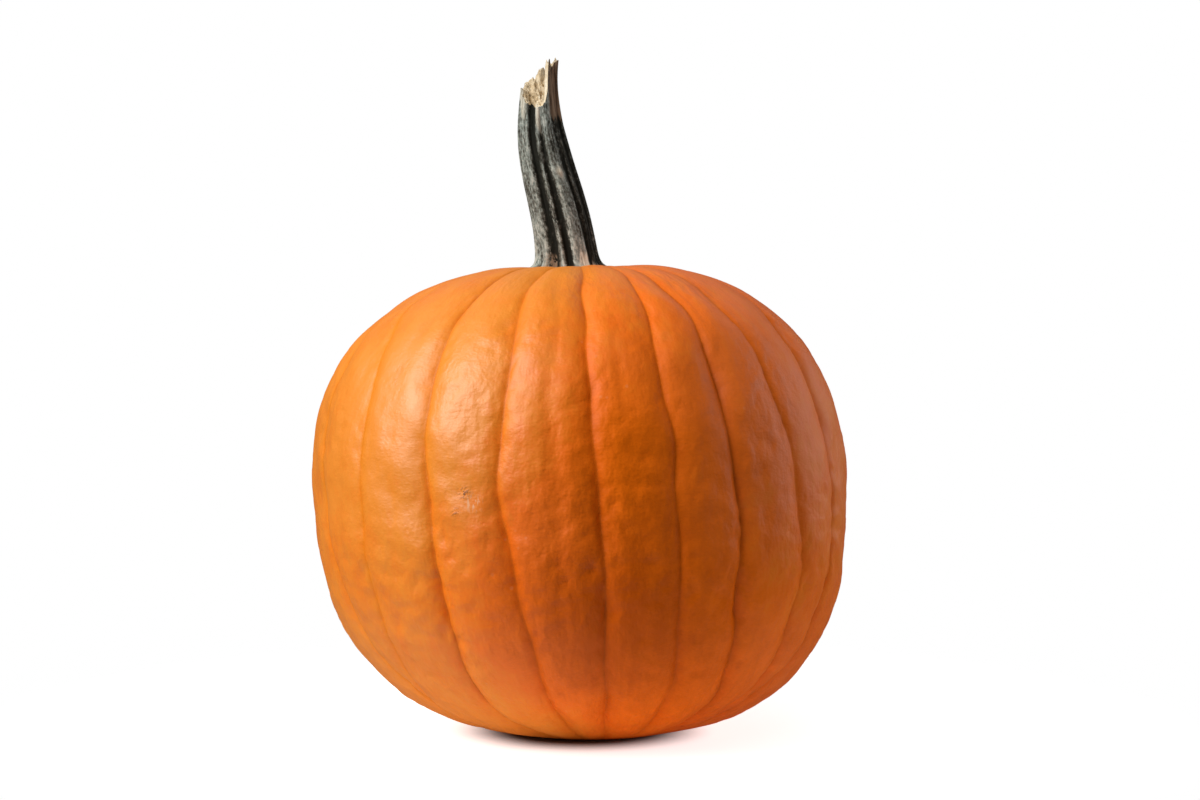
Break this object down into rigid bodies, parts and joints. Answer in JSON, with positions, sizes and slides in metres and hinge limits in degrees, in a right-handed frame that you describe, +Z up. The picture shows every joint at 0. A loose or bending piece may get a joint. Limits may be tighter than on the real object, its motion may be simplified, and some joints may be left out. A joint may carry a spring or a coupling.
{
  "type": "pumpkin",
  "caption": "Whole ribbed pumpkin that stands on its own base, with a tall woody stem on its crown, broken off at a slant.",
  "frame": {"origin": "middle of the bottom of the whole box, on the plane that the fruit rests on", "axes": "+Z up, from the base to the broken top of the stem; -Y is the better side of the fruit; +X is to the right of it"},
  "size_m": [0.2504, 0.2508, 0.3146],
  "materials": {
    "rind": "waxy satin rind with a fine dimpled skin",
    "stem": "dry, matt, ridged woody stem"
  },
  "bodies": {
    "root": {"fruit": "rind", "stem": "stem"}
  },
  "joints": []
}
